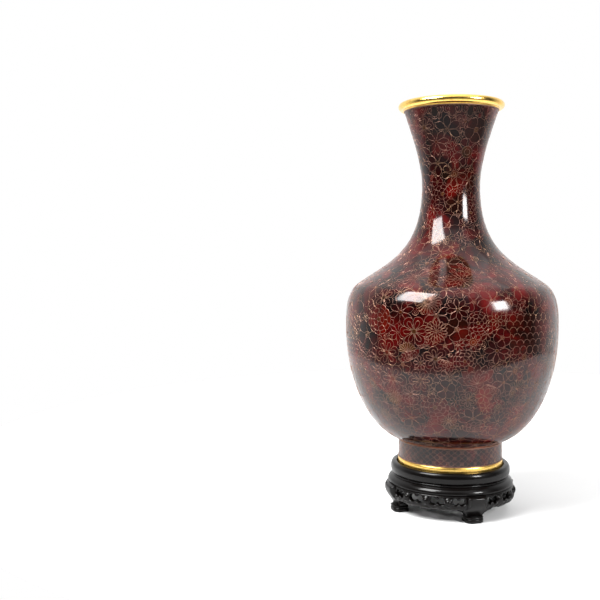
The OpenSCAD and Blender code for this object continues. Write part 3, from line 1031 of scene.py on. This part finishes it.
def footLines(f):
    radius = vaseShape["footR"] - f["sink"]
    low, high = f["bandH"] + 0.8, f["topZ"]
    tall = high - low
    wide = fullTurn / f["diamonds"]
    across = 3 * wide
    lines = []
    for k in range(f["diamonds"]):
        for side in (-1, 1):
            t = np.linspace(0, 1, 19)
            lines.append((aroundAxis(radius, seatZ + low + tall * t, k * wide + side * across * t), False))
    for row in range(3):
        for k in range(f["diamonds"]):
            if (k + row) % 2:
                continue
            angles = np.linspace(0, fullTurn, 10, endpoint=False)
            z = seatZ + low + tall * (row + 0.5) / 3
            azimuth = (k + 0.5) * wide + f["roundel"] * np.cos(angles) / radius
            lines.append((aroundAxis(radius, z + f["roundel"] * np.sin(angles), azimuth), True))
    return lines


def makeFoot(f):
    low, high = f["bandH"], f["topZ"]
    columns, rows = 460, 24
    azimuth = (np.arange(columns) + 0.5)[None, :] * fullTurn / columns
    outerZ = np.linspace(low, high, rows)[:, None]
    innerZ = np.linspace(high, low, 3)[:, None]
    radius = vaseShape["footR"] - f["sink"]
    levels = np.concatenate([aroundAxis(radius + 0 * outerZ, outerZ + seatZ + 0 * azimuth, azimuth),
                             aroundAxis(radius - 0.5 + 0 * innerZ, innerZ + seatZ + 0 * azimuth, azimuth)])
    upward = np.floor(3 * (outerZ - low) / (high - low) + azimuth * f["diamonds"] / fullTurn)
    downward = np.floor(3 * (outerZ - low) / (high - low) - azimuth * f["diamonds"] / fullTurn)
    parity = (upward + downward) % 2
    first, second = np.array(enamelColour(34, 11, 12)), np.array(enamelColour(22, 10, 11))
    colours = np.where(parity[..., None] > 0.5, first, second)
    backs = np.broadcast_to(second, (3, columns, 3))
    normals = np.concatenate([aroundAxis(1 + 0 * outerZ, 0 * outerZ + 0 * azimuth, azimuth), levels[rows:]])
    skin = ringShell("enamelFootRing", levels, normals, np.concatenate([colours, backs]), rows)
    settle(skin, "vase", "field_enamel", fieldEnamel, "foot_enamel")
    lattice = sweptPiece("wiresFootRing", footLines(f), 0.11, 4, wireMetal)
    settle(lattice, "vase", "gilt", None)
    bandR, bandH = f["bandR"], f["bandH"]
    outline = ([(bandR - 3, seatZ), (bandR - 1, seatZ)] + arc((bandR - 0.8, seatZ + 0.8), 0.8, -80, 0, 6)
               + arc((bandR - 1.5, seatZ + bandH - 2.6), 1.5, 0, 90, 10, 2.6 / 1.5)
               + [(bandR - 3, seatZ + bandH)])
    settle(lathe("giltFootBand", outline, 256), "vase", "gilt", satinGilt, "foot_band")


makeFoot(foot)


# A plain ring of round wire
def wireRing(name, radius, height, thick, node):
    ring = lathe(name, arc((radius, height), thick, 0, 337.5, 16), 256, 60)
    settle(ring, "vase", "gilt", wireMetal, node)


wireRing("wireRingFootLow", vaseShape["footR"] - 0.15, seatZ + foot["bandH"] + 0.4, 0.5, "foot_lower_wire")
wireRing("wireRingFootTop", vaseShape["footR"] - 0.35, seatZ + foot["topZ"] + 0.7, 0.6, "foot_top_wire")
rimWireSpot = cubic(curves[-1], [0.985])[0]
wireRing("wireRingRim", rimWireSpot[0] - 0.1, rimWireSpot[1] + seatZ, 0.5, "rim_wire")


# ---- Mouth: gilt rolled rim, and the plain enamel inside ----
def makeMouth():
    r, z = beadCentre[0], beadCentre[1] + seatZ
    bead = vaseShape["rimBead"]
    skirt = curves[-1][3]
    outline = ([(skirt[0] + 0.1, skirt[1] + seatZ - 0.3)] + arc((r, z), bead, -112, 196, 60)
               + [(skirt[0] - 2.6, skirt[1] + seatZ - 0.2)])
    settle(lathe("giltRim", outline, 288), "vase", "gilt", giltMetal, "mouth_rim")


def makeLining():
    t = np.linspace(0.4, topS, 110)
    outR, outZ = np.interp(t, lineS, slopeZ), -np.interp(t, lineS, slopeR)
    size = np.hypot(outR, outZ)
    base = np.stack([radiusAt(t), np.interp(t, lineS, line[:, 1]) + seatZ], 1)
    normal = np.stack([outR / size, outZ / size], 1)
    inner, outer = base - 2.6 * normal, base - 2.15 * normal
    outerCoarse = outer[::4] if len(outer) % 4 == 1 else np.concatenate([outer[::4], outer[-1:]])
    floorZ = inner[0][1]
    outline = ([(0, floorZ + 0.1)] + [(inner[0][0] * k, floorZ + 0.1) for k in (0.4, 0.8)] + inner.tolist()
               + outerCoarse[::-1].tolist() + [(0, floorZ - 0.45)])
    settle(lathe("liningGlaze", outline, 160), "vase", "plain_enamel", liningGlaze, "lining_enamel")


makeMouth()
makeLining()
print("mouth ready")


# ---- Stand: turned mouldings ----
def nodeBox(name):
    low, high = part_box(name)
    return [v / mm for v in low], [v / mm for v in high]


stand = {
    "collarR": nodeBox("collar_ring")[1][0],
    "collarTop": nodeBox("collar_ring")[1][2],
    "collarLow": nodeBox("collar_ring")[0][2],
    "recessR": nodeBox("seat_board")[1][0],
    "boardTop": nodeBox("shoulder_board")[1][2],
    "boardLow": nodeBox("shoulder_board")[0][2],
    "boardR": nodeBox("shoulder_board")[1][0],
    "beadR": nodeBox("waist_bead")[1][0],
    "apronLow": nodeBox("apron_front")[0][2],
    "legW": 20.0,
    "padH": 6.4,
    "kneeOut": 5.0,
    "legT": 12.0,
    "ankleIn": 8.9,
}


def makeTurnedStand(s):
    tall = (s["collarTop"] - s["collarLow"]) / 2
    middle = (s["collarTop"] + s["collarLow"]) / 2
    collar = ([(s["recessR"], s["collarLow"])] + arc((s["collarR"] - 3, middle), 3, -90, 75, 16, tall / 3)
              + arc((s["recessR"] + 1.6, s["collarTop"] - 1.2), 1.2, 85, 180, 7)
              + [(s["recessR"] + 0.15, s["collarTop"] - 2.4)])
    settle(lathe("standCollar", collar, 240), "stand", "black_wood", blackWood, "collar_ring")
    beadH = s["collarLow"] - s["boardTop"]
    beadCentre = (s["beadR"] - beadH / 2, s["boardTop"] + beadH / 2)
    bead = ([(s["recessR"], s["boardTop"])] + arc(beadCentre, beadH / 2, -90, 90, 10)
            + [(s["recessR"], s["collarLow"])])
    settle(lathe("standBead", bead, 240), "stand", "black_wood", blackWood, "waist_bead")
    low, high, out = s["boardLow"], s["boardTop"], s["boardR"]
    board = ([(0, low), (out - 1.2, low)] + arc((out - 1.4, low + 1.4), 1.4, -85, 0, 6)
             + [(out - 0.05, low + 2.2), (out - 0.6, low + 3.6), (out - 1.5, low + 4.9),
                (out - 2.6, low + 5.9), (out - 3.8, low + 6.6), (out - 4.4, high - 0.25),
                (out - 5.0, high), (0, high)])
    settle(lathe("standShoulder", board, 240), "stand", "black_wood", blackWood, "shoulder_board")
    seatTop = nodeBox("seat_board")[1][2]
    seatR = s["recessR"]
    seat = ([(0, high), (seatR - 0.05, high), (seatR - 0.05, seatTop - 0.4), (seatR - 0.5, seatTop)]
            + [(r, seatTop - dip) for r, dip in ((50, 0), (49, 0.5), (48, 0), (24, 0), (23, 0.5), (22, 0))]
            + [(0, seatTop)])
    settle(lathe("standSeat", seat, 200), "stand", "black_wood", blackWood, "seat_board")


makeTurnedStand(stand)


# ---- Legs: cabriole, lofted from the pad to the knee ----
legNames = [("FrontRight", "leg_front_right", -45), ("BackRight", "leg_back_right", 45),
            ("BackLeft", "leg_back_left", 135), ("FrontLeft", "leg_front_left", 225)]
leg = {
    "levels": 46, "across": 37,
    "padW": 19.0, "padL": 15.0, "chamfer": 4.0,
    "ankleW": 17.0, "bracketW": 38.0,
    "grooveAt": 2.2, "grooveW": 0.55, "grooveDeep": 0.55,
}


def legHalfWidth(z, s, g):
    ankle, spread = g["ankleW"] / 2, g["bracketW"] / 2
    if z < s["apronLow"]:
        t = max(z - 4, 0) / (s["apronLow"] - 4)
        return ankle + (spread - ankle) * (1 - math.sqrt(max(1 - t * t, 0)))
    t = min((z - s["apronLow"]) / 6.5, 1)
    return spread + (s["legW"] / 2 - spread) * (1 - (1 - t) ** 2.2) ** 0.8


def legFront(z, s):
    kneeR = s["boardR"] + s["kneeOut"]
    kneeZ = s["boardLow"] - 3
    ankleR = kneeR - s["ankleIn"]
    spots = [(ankleR, s["padH"]), (ankleR + 1.2, s["padH"] + 0.3 * (kneeZ - s["padH"])),
             (kneeR, kneeZ - 0.45 * (kneeZ - s["padH"])), (kneeR, kneeZ)]
    curve = cubic(spots, np.linspace(0, 1, 30))
    if z <= kneeZ:
        return float(np.interp(z, curve[:, 1], curve[:, 0]))
    t = (z - kneeZ) / (s["boardLow"] - kneeZ)
    return kneeR - (kneeR - s["boardR"] - 0.8) * t ** 3


def legLoft(s, g):
    zs = np.linspace(4.2, s["boardLow"], g["levels"])
    points, rings = [], []
    for z in zs:
        half = legHalfWidth(z, s, g)
        front = legFront(z, s)
        u = np.linspace(-1, 1, g["across"])
        y = half * np.sin(u * math.pi / 2 * 0.999)
        roll = 1.6 * np.clip(np.abs(y) - (half - 1.6), 0, None) ** 2 / 1.6 ** 2
        groove = g["grooveDeep"] * np.exp(-((np.abs(y) - (half - g["grooveAt"])) / g["grooveW"]) ** 2)
        x = np.sqrt(front ** 2 - y ** 2) - roll - groove
        thick = s["legT"] + 1.0 - 3.5 * max(0.0, 1 - (z - 4) / 14)
        backX = np.sqrt((front - thick) ** 2 - (y * 0.94) ** 2)
        rings.append(np.concatenate([np.stack([x, y, 0 * y + z], 1),
                                     np.stack([backX, y * 0.94, 0 * y + z], 1)[::-1]]))
    count = len(rings[0])
    points = np.concatenate(rings)
    faces = []
    for row in range(len(rings) - 1):
        for i in range(count):
            j = (i + 1) % count
            faces.append((row * count + i, row * count + j, (row + 1) * count + j, (row + 1) * count + i))
    half = count // 2
    for base in (0, (len(rings) - 1) * count):
        for i in range(half - 1):
            faces.append((base + i, base + i + 1, base + count - 2 - i, base + count - 1 - i))
    return points, faces


def padLoft(s, g):
    front = s["boardR"] + s["kneeOut"] - 5.4
    levels = [(0, 0.5), (0.5, 0.1), (0.9, 0), (3.5, 0), (3.9, 0.25), (4.1, 0.9), (4.7, 0.9),
              (4.9, 0.25), (5.2, 0), (5.9, 0.05), (6.3, 0.4), (s["padH"], 0.9)]
    rings = []
    for z, inset in levels:
        half, back, tip, cut = g["padW"] / 2 - inset, front - g["padL"] + inset, front - inset, g["chamfer"]
        corners = [(back, -half), (tip - cut, -half), (tip, -half + cut), (tip, half - cut),
                   (tip - cut, half), (back, half)]
        ring = []
        for k, (x, y) in enumerate(corners):
            nx, ny = corners[(k + 1) % len(corners)]
            px, py = corners[k - 1]
            for ex, ey in ((px, py), (nx, ny)):
                far = math.hypot(ex - x, ey - y)
                ring.append((x + (ex - x) * 0.7 / far, y + (ey - y) * 0.7 / far, z))
        rings.append(ring)
    count = len(rings[0])
    points = np.array(rings).reshape(-1, 3)
    faces = [(r * count + i, r * count + (i + 1) % count, (r + 1) * count + (i + 1) % count,
              (r + 1) * count + i) for r in range(len(rings) - 1) for i in range(count)]
    faces.append(tuple(range(count)))
    faces.append(tuple((len(rings) - 1) * count + i for i in range(count)))
    return points, faces


def makeLegs(s, g):
    legPoints, legFaces = legLoft(s, g)
    padPoints, padFaces = padLoft(s, g)
    points = np.concatenate([legPoints, padPoints])
    faces = legFaces + [tuple(i + len(legPoints) for i in f) for f in padFaces]
    for label, node, degrees in legNames:
        a = math.radians(degrees)
        turned = np.stack([points[:, 0] * math.cos(a) - points[:, 1] * math.sin(a),
                           points[:, 0] * math.sin(a) + points[:, 1] * math.cos(a), points[:, 2]], 1)
        mesh = finishMesh(meshFrom("leg" + label, turned * mm, faces), 42)
        settle(newObject("leg" + label, mesh), "stand", "black_wood", blackWood, node)


makeLegs(stand, leg)


# ---- Aprons: carved openwork, cut from a signed distance to its edge ----
apron = {
    "cell": 0.5,
    "faceR": stand["boardR"] + 1.8,
    "thick": 5.4,
    "reach": 43.4,        # mm from the middle to each end, round the face
    "round": 1.5,         # how far from an edge the carving has risen fully
    "relief": 1.5,
    "holeZ": 22.4, "holeH": 6.6,
    "holes": [(11.7, 15.5), (34.0, 13.0)],
    "knotR": 3.6, "knots": (0.0, 23.4),
}


def distanceToBox(u, z, halfU, halfZ, corner):
    qu, qz = np.abs(u) - halfU + corner, np.abs(z) - halfZ + corner
    return np.hypot(np.maximum(qu, 0), np.maximum(qz, 0)) + np.minimum(np.maximum(qu, qz), 0) - corner


# Negative inside the wood
def apronDistance(u, z, p, s):
    lowEdge = s["apronLow"] + 1.5 * np.clip(1 - ((np.abs(u) - 10.6) / 5.2) ** 2, 0, 1)
    lowEdge = lowEdge + 1.2 * np.clip(1 - ((np.abs(u) - 30) / 6.5) ** 2, 0, 1)
    body = np.maximum(np.maximum(lowEdge - z, z - s["boardLow"] - 0.2), np.abs(u) - p["reach"])
    for centre, width in p["holes"]:
        side = np.abs(u) - centre
        middle = distanceToBox(side, z - p["holeZ"], width / 2, p["holeH"] / 2, p["holeH"] / 2 - 0.1)
        notchTop = np.hypot(side, z - p["holeZ"] - p["holeH"] / 2 - 0.6) - 2.3
        notchLow = np.hypot(side, z - p["holeZ"] + p["holeH"] / 2 + 0.3) - 1.8
        hole = np.maximum(middle, -notchTop)
        hole = np.maximum(hole, -notchLow)
        body = np.maximum(body, -hole)
    for centre in p["knots"]:
        knot = np.hypot(np.abs(u) - centre, (z - p["holeZ"] + 0.6) * 0.85) - p["knotR"]
        body = np.minimum(body, knot)
    return body


def apronRelief(u, z, distance, p):
    inside = np.clip(-distance / p["round"], 0, 1)
    height = p["relief"] * np.sqrt(1 - (1 - inside) ** 2)
    for centre in p["knots"]:
        far = np.hypot(np.abs(u) - centre, (z - p["holeZ"] + 0.6) * 0.85)
        height = height + 1.5 * np.sqrt(np.clip(1 - (far / p["knotR"]) ** 2, 0, 1))
        height = height - 0.7 * np.exp(-((far - p["knotR"] * 0.62) / 0.35) ** 2)
    scroll = np.cos((np.abs(u) + 1.4 * (z - 16)) * 0.9) * np.exp(-((z - 16) / 1.6) ** 2)
    height = height + 0.35 * scroll
    return height


def apronFace(z, p, s):
    rise = z - s["apronLow"]
    outline = [(-1, -2.4), (0, -2.2), (2.5, -0.6), (5.5, 0), (9, -0.2),
               (15.5, s["boardR"] + 0.2 - p["faceR"])]
    return p["faceR"] + np.interp(rise, [o[0] for o in outline], [o[1] for o in outline])


def makeApron(name, degrees, p, s):
    us = np.arange(-p["reach"] - 1, p["reach"] + 1.01, p["cell"])
    zs = np.arange(s["apronLow"] - 1, s["boardLow"] + 1.01, p["cell"])
    u, z = np.meshgrid(us, zs)
    centreU, centreZ = (u[:-1, :-1] + u[1:, 1:]) / 2, (z[:-1, :-1] + z[1:, 1:]) / 2
    keep = apronDistance(centreU, centreZ, p, s) < 0
    around = np.zeros((keep.shape[0] + 1, keep.shape[1] + 1), dtype=int)
    for dz in (0, 1):
        for du in (0, 1):
            around[dz:dz + keep.shape[0], du:du + keep.shape[1]] += keep
    edge = (around > 0) & (around < 4)
    nudge = 0.05
    for _ in range(3):
        distance = apronDistance(u, z, p, s)
        slopeU = (apronDistance(u + nudge, z, p, s) - apronDistance(u - nudge, z, p, s)) / (2 * nudge)
        slopeUp = (apronDistance(u, z + nudge, p, s) - apronDistance(u, z - nudge, p, s)) / (2 * nudge)
        size = np.maximum(slopeU ** 2 + slopeUp ** 2, 0.25)
        u = np.where(edge, u - distance * slopeU / size, u)
        z = np.where(edge, z - distance * slopeUp / size, z)
    distance = np.where(edge, 0, apronDistance(u, z, p, s))
    front = apronFace(z, p, s) - p["relief"] + apronRelief(u, z, distance, p)
    back = apronFace(z, p, s) - p["thick"] + 0.4 * (1 - np.clip(-distance / 1.0, 0, 1))
    azimuth = math.radians(degrees) + u / p["faceR"]
    points = np.concatenate([aroundAxis(front, z, azimuth).reshape(-1, 3),
                             aroundAxis(back, z, azimuth).reshape(-1, 3)])
    index = np.arange(u.size).reshape(u.shape)
    faces, openSides = [], {}
    rows, columns = np.nonzero(keep)
    for r, c in zip(rows.tolist(), columns.tolist()):
        quad = (int(index[r, c]), int(index[r, c + 1]), int(index[r + 1, c + 1]), int(index[r + 1, c]))
        faces.append(quad)
        faces.append(tuple(i + u.size for i in reversed(quad)))
        for i in range(4):
            pair = (quad[i], quad[(i + 1) % 4])
            if (pair[1], pair[0]) in openSides:
                del openSides[(pair[1], pair[0])]
            else:
                openSides[pair] = True
    for a, b in openSides:
        faces.append((b, a, a + u.size, b + u.size))
    mesh = meshFrom(name, points * mm, faces)
    work = bmesh.new()
    work.from_mesh(mesh)
    bmesh.ops.delete(work, geom=[v for v in work.verts if not v.link_faces], context="VERTS")
    work.to_mesh(mesh)
    work.free()
    return newObject(name, finishMesh(mesh, 50))


for label, node, degrees in (("Front", "apron_front", 0), ("Right", "apron_right", 90),
                             ("Back", "apron_back", 180), ("Left", "apron_left", 270)):
    piece = makeApron("apron" + label, degrees, apron, stand)
    settle(piece, "stand", "black_wood", blackWood, node)
print("stand ready")


# ---- The CAD pieces that stay: hidden copper, the plain base and the dowels ----
def dressCad(node, material):
    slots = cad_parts[node].data.materials
    slots.clear()
    slots.append(material)


for node in ("foot_wall", "bottom_plate", "belly_shell", "shoulder_shell", "neck_shell"):
    dressCad(node, copperMetal)
dressCad("base_enamel", liningGlaze)
dressCad("leg_dowels", blackWood)
